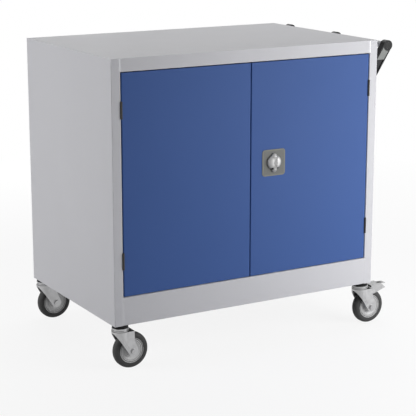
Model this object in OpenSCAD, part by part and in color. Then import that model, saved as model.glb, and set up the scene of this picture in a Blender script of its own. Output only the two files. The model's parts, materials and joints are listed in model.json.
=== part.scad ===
// Mobile cupboard: a folded steel cabinet with two flush doors, a turning lock with
// sliding rods, a push handle on its right side and four swivel casters.
// Millimetres, +Z up, front towards -Y, right side towards +X. The origin is on the
// floor, under the middle of the whole outline.

/* [Cabinet] */
// Width of the cabinet over its two sides
cabinet_w = 1000; // [760:10:1400]
// Depth of the cabinet from front frame to back
cabinet_d = 650; // [480:10:900]
// Height of the steel body without its casters
cabinet_h = 850; // [640:10:1200]
// Thickness of the folded steel sheet
sheet = 1.2; // [1:0.1:1.6]
// Inside radius of every fold
fold_r = 1.4; // [1:0.1:2]
// Width of each front stile
stile_w = 32; // [28:1:50]
// Height of the rail above the doors
top_rail_h = 42; // [32:1:80]
// Height of the plinth rail below the doors
plinth_h = 93.5; // [70:0.5:140]
// Width of the return folded under the plinth rail
return_w = 20; // [16:1:23]
// How far the door stop stands into the opening
stop_w = 9; // [6:1:14]
// Width of the flange that each side turns over the back panel
back_flange_w = 22; // [15:1:40]

/* [Doors] */
// Depth of the folded door pans
door_depth = 20; // [18:1:26]
// Gap round each door and between the two
door_gap = 2.6; // [2.2:0.1:4]
// Space left for the bumpers between a door and its stop
bumper_t = 3; // [2:0.5:5]
// Width of the flange folded inwards behind each door edge
door_flange_w = 16; // [10:1:25]
// Width of the stiffener behind each door
stiffener_w = 60; // [30:5:100]
// From the meeting edge of a door to its bumpers
bumper_inset = 60; // [40:5:120]

/* [Hinges] */
// Diameter of the hinge knuckles
knuckle_dia = 7; // [6.5:0.5:10]
// Diameter of the hinge pins
pin_dia = 4; // [3:0.5:4.5]
// Length of one whole hinge, both knuckles together
hinge_len = 54; // [40:2:80]
// From the end of a door to the middle of its nearer hinge
hinge_inset = 115; // [70:5:180]

/* [Lock] */
// Side of the square lock plate
plate_w = 88; // [76:1:110]
// Thickness of the lock plate
plate_t = 1.5; // [1:0.1:3]
// Corner radius of the lock plate
plate_r = 10; // [3:1:20]
// From the seam between the doors to the middle of the lock
lock_off = 87; // [70:1:120]
// From the bottom of the doors to the middle of the lock
lock_up = 376; // [250:2:450]
// Height of the knob over its two narrow lobes
knob_h = 65; // [58:1:70]
// Width of the knob over its two broad lobes
knob_w = 52; // [46:1:58]
// How far the knob stands out of the door
knob_out = 15; // [14:1:24]
// Diameter of the key plug in the middle of the knob
plug_dia = 13; // [10:0.5:14]
// Length of the key plug
plug_len = 5; // [4:0.5:6]
// Side of the square spindle
spindle_w = 8; // [7:0.5:9]
// Teeth of the pinion that drives the rods
pinion_teeth = 12; // [12:2:14]
// Module of the pinion and rack teeth
tooth_module = 1.6; // [1.5:0.05:1.7]
// Width of the two flat locking rods
rod_w = 10; // [8:1:14]
// Thickness of the locking rods
rod_t = 4; // [3:0.5:5]
// From the end of the door to the guide of each rod
guide_inset = 60; // [40:5:120]
// How far the cam reaches past the seam when it is turned across
cam_hook = 14; // [8:1:16]
// Width of the cam
cam_w = 16; // [12:1:22]

/* [Shelves] */
// Pitch of the slots in the shelf strips
slot_pitch = 25; // [20:5:40]
// Slot number that carries the lower shelf
lower_slot = 8; // [4:1:10]
// Slot number that carries the upper shelf
upper_slot = 18; // [14:1:20]
// Height of the folded edge of a shelf
shelf_edge_h = 25; // [15:1:40]
// Width of a shelf strip
strip_w = 24; // [20:1:40]
// How far a shelf strip stands off the side
strip_d = 8; // [6:1:14]
// From the stop and from the back panel to the middle of a shelf strip
strip_inset = 90; // [60:5:160]
// From the floor and the roof of the cupboard to the ends of a shelf strip
strip_end = 12; // [8:1:30]
// From the lower end of a strip to its first slot
first_slot = 20; // [15:1:40]
// Width of the slots in the shelf strips
slot_w = 12; // [8:1:18]
// Height of the slots in the shelf strips
slot_h = 6; // [5:0.5:9]
// Space between a shelf and the strips on each side
shelf_side_gap = 3; // [2:0.5:6]
// Space between a shelf and the door stop
shelf_front_gap = 12; // [6:1:30]
// Space between a shelf and the back panel
shelf_back_gap = 8; // [4:1:20]
// How far a clip reaches under its shelf
clip_reach = 16; // [12:1:24]
// Thickness of the clips
clip_t = 1.5; // [1:0.5:3]
// Width of the lip folded back under the front of a shelf
shelf_lip_w = 14; // [10:1:30]

/* [Handle] */
// Outside diameter of the handle tube
tube_dia = 22; // [18:1:25]
// From the side of the cabinet to the middle of the tube
tube_out = 56; // [50:1:80]
// From the top of the cabinet to the middle of the tube
tube_drop = 22.5; // [20:0.5:60]
// Width of a handle bracket's arm and head
bracket_w = 35; // [31:1:44]
// Thickness of a handle bracket along the tube
bracket_t = 24; // [16:1:32]
// Slope of the brackets from upright
bracket_slope = 33; // [25:1:40]
// From the front and the back of the cabinet to the middle of the outer brackets
bracket_inset = 27; // [20:1:80]
// Width of the rim left round the pocket of a bracket
bracket_rim = 4; // [3:0.5:6]
// Depth of the pocket in each face of a bracket
pocket_d = 3; // [2:0.5:5]
// Diameter of the bolts that hold the brackets
bolt_dia = 6; // [5:1:8]
// Distance between the two bolts of a bracket
bolt_pitch = 28; // [24:2:34]
// How far a bolt reaches into its bracket
bolt_grip = 13; // [10:1:16]

/* [Casters] */
// Height of the swivel head between a fork crown and the cabinet
swivel_h = 21; // [16:1:40]
// Diameter of the wheels
wheel_dia = 120; // [110:5:125]
// Gap between the top of a wheel and its fork crown
wheel_gap = 6; // [4:1:12]
// Width of the tyre tread
tyre_w = 30; // [26:1:34]
// Diameter of the pale hub discs
hub_dia = 84; // [70:1:90]
// Diameter of the wheel axles
axle_dia = 10; // [8:1:12]
// Horizontal distance from the swivel axis to the axle
trail = 34; // [31:1:40]
// From the cabinet's left and right side to the swivel axes
swivel_in_x = 30; // [26:1:60]
// From the cabinet's front and back to the swivel axes
swivel_in_y = 24; // [20:1:60]
// Diameter of the fork crown
crown_dia = 57; // [56:1:60]
// Width over the two legs of the fork
fork_w = 54; // [50:1:55]
// Thickness of the pressed fork
fork_t = 3; // [2.5:0.5:4]
// How far the front edge of a fork leg stands ahead of the axle
fork_front = 4; // [2:1:8]
// Diameter of the round lower end of a fork leg
leg_end_dia = 34; // [30:1:42]
// Height of the upright front edge of a fork leg below the crown
front_edge_h = 29; // [20:1:36]
// Diameter of the bolt that holds each caster
kingbolt_dia = 12; // [10:1:14]
// From the swivel axis to the tip of the brake pedal
pedal_reach = 102; // [98:1:120]
// Width of the brake pedal's release tongue
pedal_w = 25; // [20:1:34]
// From the tip of the brake pedal back to the bend in its cover
pedal_bend = 24; // [18:1:30]
// Height of the chassis channels that carry the casters
chassis_h = 40; // [30:1:50]
// Width of the chassis channels
chassis_w = 60; // [56:1:90]
// Thickness of the chassis channels
chassis_t = 3; // [2:0.5:4]

/* [Hidden] */
$fn = 64;

body_grey = [0.74, 0.74, 0.76];
door_blue = [0.20, 0.31, 0.58];
steel = [0.66, 0.67, 0.68];
dark_steel = [0.35, 0.34, 0.33];
black = [0.12, 0.12, 0.12];
rubber = [0.22, 0.22, 0.22];

// Named clearances
slip = 0.3;      // between faces that stay apart
running = 0.06;  // radial, between a shaft and its bore
seat = 0.02;     // radial, between a shaft and a bore that holds it
past = 1;        // how far a cut runs past the face it opens

// Heights of the casters and the frame
crown_z = wheel_dia + wheel_gap;
crown_top = crown_z + fork_t;
caster_h = crown_top + swivel_h;
floor_z = caster_h;
roof_z = caster_h + cabinet_h;
sill_z = floor_z + plinth_h;
head_z = roof_z - top_rail_h;
half = sheet / 2;
jamb_d = door_depth + bumper_t;
jamb_back = jamb_d + sheet;
tray_z = sill_z + stop_w;

// Doors: x runs from the left side, so the right door is the left one mirrored
door_x0 = stile_w + door_gap;
door_x1 = cabinet_w / 2 - door_gap / 2;
door_z0 = sill_z + door_gap;
door_z1 = head_z - door_gap;
door_h = door_z1 - door_z0;
pin_x = stile_w + door_gap / 2;
pin_y = -1;
leaf_t = (door_gap - 0.6) / 2;
hinge_zs = [door_z0 + hinge_inset, door_z1 - hinge_inset];
knuckle_notch = knuckle_dia / 2 + 0.5;

// Lock
lock_x = cabinet_w / 2 + door_gap / 2 + lock_off;
lock_z = door_z0 + lock_up;
collar_r = spindle_w / 2 * sqrt(2) + 1.2;
socket_end = knob_out - plug_len - 1.5;
pitch_r = pinion_teeth * tooth_module / 2;
tooth_add = 0.7 * tooth_module;
tooth_ded = 1.0 * tooth_module;
pressure_angle = 20;
backlash = 0.2;
rod_travel = pitch_r * PI / 2;
rod_off = pitch_r + tooth_ded + rod_w / 2;
rod_y0 = sheet + 5.8;
pinion_y0 = rod_y0 - 1;
pinion_y1 = rod_y0 + rod_t + 1;
case_y1 = pinion_y1 + 2.5;
case_w = 2 * (rod_off + rod_w / 2 + 8);
case_h = 2 * (pitch_r + rod_travel + 12);
case_wall = 1.5;
cam_y0 = door_depth + 0.6;
cam_t = 3;
keeper_t = 1.5;
keeper_foot = 24;
cam_len = lock_off + door_gap + cam_hook;
rod_tail = rod_travel + pitch_r + 6;
rod_slot_w = rod_w + 4;
rod_slot_t = rod_t + 4;

// Shelves
strip_z0 = tray_z + strip_end;
strip_z1 = head_z - strip_end;
strip_len = strip_z1 - strip_z0;
slot_count = floor((strip_len - first_slot) / slot_pitch);
strip_ys = [jamb_back + strip_inset, cabinet_d - 2 * sheet - strip_inset];
shelf_x0 = sheet + strip_d + shelf_side_gap;
shelf_y0 = jamb_back + shelf_front_gap;
shelf_y1 = cabinet_d - 2 * sheet - shelf_back_gap;

// Handle
tube_x = cabinet_w + tube_out;
tube_z = roof_z - tube_drop;
tube_y0 = bracket_inset - bracket_t / 2 + 1;
tube_y1 = cabinet_d - tube_y0;
bracket_ys = [bracket_inset, cabinet_d / 2, cabinet_d - bracket_inset];
inlay_z = tube_z - bracket_w * 1.34;
foot_z = tube_z - tube_out / tan(bracket_slope);
head_swell = 1;
bolt_zs = [foot_z - bolt_pitch / 2, foot_z + bolt_pitch / 2];

// Casters
wheel_r = wheel_dia / 2;
crown_r = crown_dia / 2;
race_z = crown_top + slip;
race_h = swivel_h / 2;
front_x = trail + fork_front;
leg_in = fork_w / 2 - fork_t;
hub_half = leg_in - slip;
axle_head_t = 5.5;
head_r = kingbolt_dia * 0.8;
head_t = 5.7;
front_swivel_y = swivel_in_y;
rear_swivel_y = cabinet_d - swivel_in_y;
left_swivel_x = swivel_in_x;
right_swivel_x = cabinet_w - swivel_in_x;
pedal_pivot = [front_x + 3, crown_z - 10];
leg_rear_top = [-crown_r - 0.5, crown_z + 0.5];
pedal_pin_r = 3;
pedal_ear_r = 7;
pedal_t = 2;
shoe_at = [15, 8];
shoe_r = 4;
channel_y0 = sheet + fold_r + 0.6;
channel_y1 = cabinet_d - 2 * sheet - slip;

// The whole outline, whose middle is the origin
outline_x0 = min(0, swivel_in_x - crown_r);
outline_x1 = max(right_swivel_x + pedal_reach, tube_x + bracket_w / 2);
outline_y1 = max(cabinet_d, rear_swivel_y + crown_r);
mid_x = (outline_x0 + outline_x1) / 2;
mid_y = (outline_y1 - knob_out) / 2;

function unit(v) = v / norm(v);
// Point where a line from p touches a circle, on the side given by 1 or -1
function touch(p, c, r, side) =
    let (d = norm(c - p), a = atan2(c[1] - p[1], c[0] - p[0]) + side * asin(r / d))
    p + sqrt(d * d - r * r) * [cos(a), sin(a)];

// Moves a piece from the cabinet's own corner to the origin
module placed() {
    translate([-mid_x, -mid_y, 0]) children();
}

module mirrored_right() {
    translate([cabinet_w, 0, 0]) mirror([1, 0, 0]) children();
}

// Section of a sheet that follows square corners, each fold a true arc
module folded_strip(path, thick, inside) {
    mid_r = inside + thick / 2;
    outer = inside + thick;
    last = len(path) - 1;
    for (i = [0 : last - 1]) {
        along = unit(path[i + 1] - path[i]);
        from = path[i] + along * (i > 0 ? mid_r : 0);
        to = path[i + 1] - along * (i < last - 1 ? mid_r : 0);
        translate((from + to) / 2)
            rotate(atan2(along[1], along[0])) square([norm(to - from), thick], center = true);
    }
    for (i = [1 : last - 1]) {
        back = unit(path[i - 1] - path[i]);
        on = unit(path[i + 1] - path[i]);
        translate(path[i] + (back + on) * mid_r) intersection() {
            difference() {
                circle(outer);
                circle(inside);
            }
            polygon([[0, 0], -back * outer, -(back + on) * outer, -on * outer]);
        }
    }
}

module sheet_strip(path) {
    folded_strip(path, sheet, fold_r);
}

// Extrudes a section drawn in Y and Z along X
module along_x(x0, x1) {
    translate([x0, 0, 0]) rotate([90, 0, 90]) linear_extrude(x1 - x0) children();
}

// Extrudes a section drawn in X and Z along Y
module along_y(y0, y1) {
    translate([0, y1, 0]) rotate([90, 0, 0]) linear_extrude(y1 - y0) children();
}

module block(low, high) {
    translate(low) cube(high - low);
}

module rounded_square(size, r) {
    inner = size - 2 * r;
    square([size, inner], center = true);
    square([inner, size], center = true);
    for (x = [-1, 1], y = [-1, 1]) translate([x, y] * inner / 2) circle(r);
}

// Cylinder along Y between two places
module rod_y(x, z, y0, y1, r, fn = 64) {
    translate([x, y1, z]) rotate([90, 0, 0]) cylinder(h = y1 - y0, r = r, $fn = fn);
}

// Cylinder along X between two places
module rod_x(y, z, x0, x1, r, fn = 64) {
    translate([x0, y, z]) rotate([0, 90, 0]) cylinder(h = x1 - x0, r = r, $fn = fn);
}

// Left side: stop, jamb, stile, side and back flange folded from one sheet
module side_blank() {
    difference() {
        translate([0, 0, floor_z]) linear_extrude(cabinet_h - sheet) sheet_strip([
            [stile_w + stop_w, jamb_d + half],
            [stile_w - half, jamb_d + half],
            [stile_w - half, half],
            [half, half],
            [half, cabinet_d - half],
            [back_flange_w, cabinet_d - half]
        ]);
        // The jamb ends above the chassis channel
        block([stile_w - sheet - fold_r - past, channel_y0 - 0.2, floor_z - past],
              [stile_w + stop_w + past, jamb_back + past, floor_z + chassis_h + past]);
        for (z = hinge_zs) block(
            [pin_x - knuckle_notch, -past, z - hinge_len / 2 - 0.5],
            [stile_w + past, pin_y + knuckle_notch, z + hinge_len / 2 + 0.5]);
    }
}

module side_left() {
    color(body_grey) placed() side_blank();
}

module side_right() {
    color(body_grey) placed() difference() {
        mirrored_right() side_blank();
        for (y = bracket_ys, z = bolt_zs)
            rod_x(y, z, cabinet_w - sheet - past, cabinet_w + past, bolt_dia / 2 + 0.3, 32);
    }
}

// Cuts the ends of a rail's stop back from the stops of the two sides
module rail_end_reliefs(z0, z1) {
    for (x = [stile_w - past, cabinet_w - stile_w - stop_w])
        block([x, jamb_d - fold_r - 0.4, z0], [x + stop_w + past, jamb_back + past, z1]);
}

// Slots where the ends of the two locking rods enter a rail
module rod_slot(x, z) {
    block([x - rod_slot_w / 2, rod_y0 + rod_t / 2 - rod_slot_t / 2, z - 3],
          [x + rod_slot_w / 2, rod_y0 + rod_t / 2 + rod_slot_t / 2, z + 3]);
}

// Top sheet with the rail above the doors and flanges turned down inside
module top_panel() {
    color(body_grey) placed() difference() {
        union() {
            block([0, 0, roof_z - sheet], [cabinet_w, cabinet_d, roof_z]);
            along_x(stile_w, cabinet_w - stile_w) sheet_strip([
                [half, roof_z - half],
                [half, head_z + half],
                [jamb_d + half, head_z + half],
                [jamb_d + half, head_z - stop_w]
            ]);
            block([stile_w + stop_w, cabinet_d - 3 * sheet, roof_z - top_rail_h / 2],
                  [cabinet_w - stile_w - stop_w, cabinet_d - 2 * sheet, roof_z - half]);
            for (x = [sheet, cabinet_w - 2 * sheet])
                block([x, jamb_back + 4, roof_z - top_rail_h / 2],
                      [x + sheet, cabinet_d - 4 * sheet, roof_z - half]);
        }
        rail_end_reliefs(head_z - stop_w - past, head_z + fold_r + 2 * sheet);
        rod_slot(lock_x - rod_off, head_z);
    }
}

module back_panel() {
    color(body_grey) placed()
        block([sheet + fold_r, cabinet_d - 2 * sheet, floor_z],
              [cabinet_w - sheet - fold_r, cabinet_d - sheet, roof_z - sheet]);
}

// Floor of the cupboard, turned down on all four sides
module base_tray() {
    x1 = cabinet_w - sheet;
    y1 = cabinet_d - 2 * sheet - slip;
    color(body_grey) placed() difference() {
        block([sheet, jamb_back, tray_z - stop_w - sheet], [x1, y1, tray_z]);
        block([2 * sheet, jamb_back + sheet, tray_z - stop_w - sheet - past],
              [x1 - sheet, y1 - sheet, tray_z - sheet]);
    }
}

// Rail below the doors, with its sill, its stop and a return under the cabinet
module plinth() {
    color(body_grey) placed() difference() {
        along_x(stile_w, cabinet_w - stile_w) sheet_strip([
            [jamb_d + half, tray_z],
            [jamb_d + half, sill_z - half],
            [half, sill_z - half],
            [half, floor_z + half],
            [return_w, floor_z + half]
        ]);
        rail_end_reliefs(sill_z - fold_r - 2 * sheet, tray_z + past);
        rod_slot(lock_x + rod_off, sill_z);
        for (x = [stile_w - past, cabinet_w - sheet - chassis_w - 0.5])
            block([x, channel_y0 - 0.2, floor_z - past],
                  [x + sheet + chassis_w + 0.5 - stile_w + past, return_w + past, floor_z + 2 * sheet]);
    }
}

// Channels along the two sides, each carrying a front and a rear caster
module chassis_channels() {
    mid_t = chassis_t / 2;
    color(dark_steel) placed() for (x = [sheet, cabinet_w - sheet - chassis_w]) difference() {
        along_y(channel_y0, channel_y1) folded_strip([
            [x + mid_t, floor_z + chassis_h],
            [x + mid_t, floor_z + mid_t],
            [x + chassis_w - mid_t, floor_z + mid_t],
            [x + chassis_w - mid_t, floor_z + chassis_h]
        ], chassis_t, 2);
        for (sx = [left_swivel_x, right_swivel_x], sy = [front_swivel_y, rear_swivel_y])
            translate([sx, sy, floor_z - past])
                cylinder(h = chassis_t + 2 * past, d = kingbolt_dia + 0.6);
    }
}

// Shelf: a sheet turned down on all sides, with a lip folded back under its front
module shelf(z) {
    x1 = cabinet_w - shelf_x0;
    difference() {
        block([shelf_x0, shelf_y0, z - shelf_edge_h], [x1, shelf_y1, z]);
        block([shelf_x0 + sheet, shelf_y0 + sheet, z - shelf_edge_h - past],
              [x1 - sheet, shelf_y1 - sheet, z - sheet]);
    }
    block([shelf_x0, shelf_y0, z - shelf_edge_h], [x1, shelf_y0 + shelf_lip_w, z - shelf_edge_h + sheet]);
}

function slot_z(n) = strip_z0 + first_slot + n * slot_pitch;
function shelf_z(n) = slot_z(n) + shelf_edge_h + clip_t + slot_h / 2;

module shelf_lower() {
    color(body_grey) placed() shelf(shelf_z(lower_slot));
}

module shelf_upper() {
    color(body_grey) placed() shelf(shelf_z(upper_slot));
}

// Slotted strips, two on each side
module shelf_strips() {
    color(body_grey) placed() for (side = [0, 1], y = strip_ys) {
        translate([side * cabinet_w, 0, 0]) mirror([side, 0, 0]) difference() {
            translate([0, 0, strip_z0]) linear_extrude(strip_len) sheet_strip([
                [sheet, y - strip_w / 2 + half],
                [sheet + strip_d - half, y - strip_w / 2 + half],
                [sheet + strip_d - half, y + strip_w / 2 - half],
                [sheet, y + strip_w / 2 - half]
            ]);
            for (n = [0 : slot_count])
                block([sheet + strip_d - sheet - half, y - slot_w / 2, slot_z(n) - slot_h / 2],
                      [sheet + strip_d + past, y + slot_w / 2, slot_z(n) + slot_h / 2]);
        }
    }
}

// Clip: a plate on the strip, a tongue through its slot and a ledge under the shelf
module shelf_clip(y, n) {
    x = sheet + strip_d;
    z = slot_z(n) + slot_h / 2;
    block([x, y - slot_w / 2, z - clip_reach], [x + clip_t, y + slot_w / 2, z + clip_t]);
    block([x, y - slot_w / 2, z], [x + clip_reach, y + slot_w / 2, z + clip_t]);
    block([x - sheet - 2, y - slot_w / 2 + 1, z - slot_h + 1],
          [x + half, y + slot_w / 2 - 1, z - slot_h + 1 + clip_t]);
}

module shelf_clips() {
    color(steel) placed() for (side = [0, 1], y = strip_ys, n = [lower_slot, upper_slot])
        translate([side * cabinet_w, 0, 0]) mirror([side, 0, 0]) shelf_clip(y, n);
}

// One half of a hinge: a knuckle with its leaf, flat against the jamb or the door
module hinge_half(z0, z1, leaf_x0, bore) {
    difference() {
        union() {
            translate([pin_x, pin_y, z0]) cylinder(h = z1 - z0, d = knuckle_dia);
            block([leaf_x0, pin_y, z0], [leaf_x0 + leaf_t, jamb_d - 4, z1]);
        }
        translate([pin_x, pin_y, z0 - past]) cylinder(h = z1 - z0 + 2 * past, d = bore);
    }
}

module frame_hinge_leaves() {
    color(dark_steel) placed() for (side = [0, 1], z = hinge_zs)
        translate([side * cabinet_w, 0, 0]) mirror([side, 0, 0])
            hinge_half(z - hinge_len / 2, z - slip / 2, stile_w, pin_dia + 2 * seat);
}

module hinge_pins() {
    color(steel) placed() for (side = [0, 1], z = hinge_zs)
        translate([side * cabinet_w, 0, 0]) mirror([side, 0, 0])
            translate([pin_x, pin_y, z - hinge_len / 2]) cylinder(h = hinge_len - 1, d = pin_dia);
}

module door_leaves() {
    for (z = hinge_zs)
        hinge_half(z + slip / 2, z + hinge_len / 2, door_x0 - leaf_t, pin_dia + 2 * running);
}

module door_left_hinge_leaves() {
    color(dark_steel) placed() door_leaves();
}

module door_right_hinge_leaves() {
    color(dark_steel) placed() mirrored_right() door_leaves();
}

// Door pan: face, edges and inner flanges folded from one sheet
module door_pan() {
    edge = fold_r + sheet;
    difference() {
        union() {
            translate([0, 0, door_z0]) linear_extrude(door_h) sheet_strip([
                [door_x0 + door_flange_w, door_depth - half],
                [door_x0 + half, door_depth - half],
                [door_x0 + half, half],
                [door_x1 - half, half],
                [door_x1 - half, door_depth - half],
                [door_x1 - door_flange_w, door_depth - half]
            ]);
            for (top = [0, 1]) {
                z = top ? door_z1 : door_z0;
                dir = top ? -1 : 1;
                block([door_x0 + edge, half, min(z, z + dir * sheet)],
                      [door_x1 - edge, door_depth, max(z, z + dir * sheet)]);
                block([door_x0 + door_flange_w - half, door_depth - sheet, min(z, z + dir * door_flange_w)],
                      [door_x1 - door_flange_w + half, door_depth, max(z, z + dir * door_flange_w)]);
            }
        }
        for (z = hinge_zs) block(
            [door_x0 - past, -past, z - hinge_len / 2 - 0.5],
            [pin_x + knuckle_notch, pin_y + knuckle_notch, z + hinge_len / 2 + 0.5]);
    }
}

module door_left() {
    color(door_blue) placed() door_pan();
}

module door_right() {
    color(door_blue) placed() difference() {
        mirrored_right() door_pan();
        rod_y(lock_x, lock_z, -past, sheet + past, collar_r + 1.5);
        rod_slot(lock_x - rod_off, door_z1);
        rod_slot(lock_x + rod_off, door_z0);
    }
}

// Hat channel fixed behind the middle of a door
module stiffener() {
    x = (door_x0 + door_x1) / 2;
    depth = door_depth - sheet - 1;
    lip = 12;
    low = door_z0 + door_flange_w + 8;
    high = door_z1 - door_flange_w - 8;
    translate([0, 0, low]) linear_extrude(high - low) sheet_strip([
        [x - stiffener_w / 2 - lip, sheet + half],
        [x - stiffener_w / 2 + half, sheet + half],
        [x - stiffener_w / 2 + half, depth + half],
        [x + stiffener_w / 2 - half, depth + half],
        [x + stiffener_w / 2 - half, sheet + half],
        [x + stiffener_w / 2 + lip, sheet + half]
    ]);
}

module door_left_stiffener() {
    color(door_blue) placed() stiffener();
}

module door_right_stiffener() {
    color(door_blue) placed() mirrored_right() stiffener();
}

// Rubber buttons that meet the top and bottom stops
module bumpers() {
    for (z = [door_z0 + 5, door_z1 - 5])
        rod_y(door_x1 - bumper_inset, z, door_depth, door_depth + bumper_t - slip, 4, 32);
}

module door_left_bumpers() {
    color(rubber) placed() bumpers();
}

module door_right_bumpers() {
    color(rubber) placed() mirrored_right() bumpers();
}

// Lock plate on the face of the right door
module lock_plate() {
    color(dark_steel) placed() difference() {
        translate([lock_x, 0, lock_z]) rotate([90, 0, 0])
            linear_extrude(plate_t) rounded_square(plate_w, plate_r);
        rod_y(lock_x, lock_z, -plate_t - past, past, collar_r + running);
    }
}

// Outline of the knob: a broad lobe on each side and a narrow one at each end
module lobes() {
    side_r = knob_w * 0.37;
    end_r = knob_h * 0.165;
    for (side = [-1, 1]) {
        translate([side * (knob_w / 2 - side_r), 0]) circle(side_r);
        translate([0, side * (knob_h / 2 - end_r)]) circle(end_r);
    }
}

// Knob: a neck and a domed head of four lobes, bored for the key plug and the spindle
module lock_knob() {
    back = plate_t + slip;
    neck = back + 3;
    dome_r = 0.88 * knob_h;
    square_h = spindle_w + 2 * seat;
    color(steel) placed() translate([lock_x, 0, lock_z]) rotate([90, 0, 0]) difference() {
        union() {
            translate([0, 0, back]) cylinder(h = neck - back, r = knob_w * 0.35);
            intersection() {
                translate([0, 0, neck - 0.5]) linear_extrude(knob_out - neck + 0.5) lobes();
                translate([0, 0, knob_out + 1 - dome_r]) sphere(dome_r);
            }
        }
        translate([0, 0, knob_out - plug_len]) cylinder(h = knob_out, d = plug_dia + 2 * running);
        translate([-square_h / 2, -square_h / 2, 0]) cube([square_h, square_h, socket_end]);
    }
}

// Key plug with its slot
module key_plug() {
    color(steel) placed() difference() {
        rod_y(lock_x, lock_z, -knob_out, -knob_out + plug_len - slip, plug_dia / 2);
        block([lock_x - 0.9, -knob_out - past, lock_z - plug_dia * 0.34],
              [lock_x + 0.9, -knob_out + plug_len * 0.6, lock_z + plug_dia * 0.34]);
    }
}

// Square spindle with a round collar that turns in the lock plate
module lock_spindle() {
    s = spindle_w / 2;
    color(steel) placed() {
        block([lock_x - s, slip - socket_end, lock_z - s],
              [lock_x + s, cam_y0 + cam_t + 1, lock_z + s]);
        rod_y(lock_x, lock_z, -plate_t - slip / 2, pinion_y0 - slip, collar_r);
    }
}

// Half the angle that a pinion tooth takes up at one radius: its flanks are involutes
function tooth_half_angle(r) =
    let (base = pitch_r * cos(pressure_angle), a = acos(min(1, base / r)))
    90 / pinion_teeth - (backlash / 2 / pitch_r) * 180 / PI
    + (tan(pressure_angle) * 180 / PI - pressure_angle) - (tan(a) * 180 / PI - a);

// Pinion with a tooth pointing at each rod when the lock is open
module lock_pinion() {
    tip = pitch_r + tooth_add;
    base = pitch_r * cos(pressure_angle);
    radii = [pitch_r - tooth_ded, base, base + (tip - base) * 0.3, base + (tip - base) * 0.65, tip];
    last = len(radii) - 1;
    outline = [
        for (n = [0 : pinion_teeth - 1], side = [-1, 1], k = [0 : last])
            let (r = radii[side < 0 ? k : last - k], a = n * 360 / pinion_teeth + side * tooth_half_angle(r))
            r * [cos(a), sin(a)]
    ];
    square_w = spindle_w + 2 * seat;
    color(steel) placed() translate([lock_x, pinion_y1, lock_z]) rotate([90, 0, 0])
        linear_extrude(pinion_y1 - pinion_y0) difference() {
            polygon(outline);
            square(square_w, center = true);
        }
}

// Cam that hangs down when open and reaches behind the left door when turned
module lock_cam() {
    square_w = spindle_w + 2 * seat;
    color(steel) placed() difference() {
        translate([lock_x, cam_y0 + cam_t, lock_z]) rotate([90, 0, 0]) linear_extrude(cam_t) {
            circle(cam_w * 0.75);
            translate([-cam_w / 2, -cam_len + cam_w / 2]) square([cam_w, cam_len - cam_w / 2]);
            translate([0, -cam_len + cam_w / 2]) circle(cam_w / 2);
        }
        block([lock_x - square_w / 2, cam_y0 - past, lock_z - square_w / 2],
              [lock_x + square_w / 2, cam_y0 + cam_t + past, lock_z + square_w / 2]);
    }
}

// Keeper on the left door: the cam turns in between its lip and the door, and holds it shut
module cam_keeper() {
    foot_y = door_depth + keeper_t / 2;
    lip_y = cam_y0 + cam_t + 0.6 + keeper_t / 2;
    bend_z = lock_z + cam_w / 2 + 3;
    color(steel) placed() along_x(door_x1 - door_flange_w + 0.5, door_x1 - fold_r - sheet) folded_strip([
        [foot_y, bend_z + keeper_foot],
        [foot_y, bend_z],
        [lip_y, bend_z],
        [lip_y, lock_z - cam_w / 2 - 4]
    ], keeper_t, 1);
}

// Edge of a rack from its lowest tooth to its highest, with a gap opposite the pinion's middle
function rack_edge(x_root, x_tip, first, count) =
    let (pitch = tooth_module * PI, flank = tan(pressure_angle), mid = pitch / 4 - backlash / 2)
    [for (n = [first : first + count - 1]) each [
        [x_root, lock_z + (n + 0.5) * pitch - mid - tooth_ded * flank],
        [x_tip, lock_z + (n + 0.5) * pitch - mid + tooth_add * flank],
        [x_tip, lock_z + (n + 0.5) * pitch + mid - tooth_add * flank],
        [x_root, lock_z + (n + 0.5) * pitch + mid + tooth_ded * flank]
    ]];

// Locking rod with its rack: side -1 is left of the pinion and rises as the lock turns
module locking_rod(side, z_end) {
    z_low = side < 0 ? lock_z - rod_tail : z_end;
    z_high = side < 0 ? z_end : lock_z + rod_tail;
    x_root = lock_x + side * (pitch_r + tooth_ded);
    x_tip = lock_x + side * (pitch_r - tooth_add);
    x_back = x_root + side * rod_w;
    first = side < 0 ? -6 : -2;
    translate([0, rod_y0 + rod_t, 0]) rotate([90, 0, 0]) linear_extrude(rod_t) polygon(concat(
        [[x_back, z_low], [x_root, z_low]],
        rack_edge(x_root, x_tip, first, 8),
        [[x_root, z_high], [x_back, z_high]]
    ));
}

module upper_rod() {
    color(steel) placed() locking_rod(-1, door_z1 - 4);
}

module lower_rod() {
    color(steel) placed() locking_rod(1, door_z0 + 4);
}

// Box on the inside of the door round the pinion and racks
module lock_case() {
    w = case_w / 2;
    h = case_h / 2;
    y1 = case_y1 + case_wall;
    color(steel) placed() difference() {
        block([lock_x - w, sheet, lock_z - h], [lock_x + w, y1, lock_z + h]);
        block([lock_x - w + case_wall, sheet - past, lock_z - h + case_wall],
              [lock_x + w - case_wall, case_y1, lock_z + h - case_wall]);
        for (side = [-1, 1]) block(
            [lock_x + side * rod_off - rod_w / 2 - slip, rod_y0 - slip, lock_z - h - past],
            [lock_x + side * rod_off + rod_w / 2 + slip, rod_y0 + rod_t + slip, lock_z + h + past]);
        rod_y(lock_x, lock_z, case_y1 - past, y1 + past, collar_r + 1);
    }
}

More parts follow.
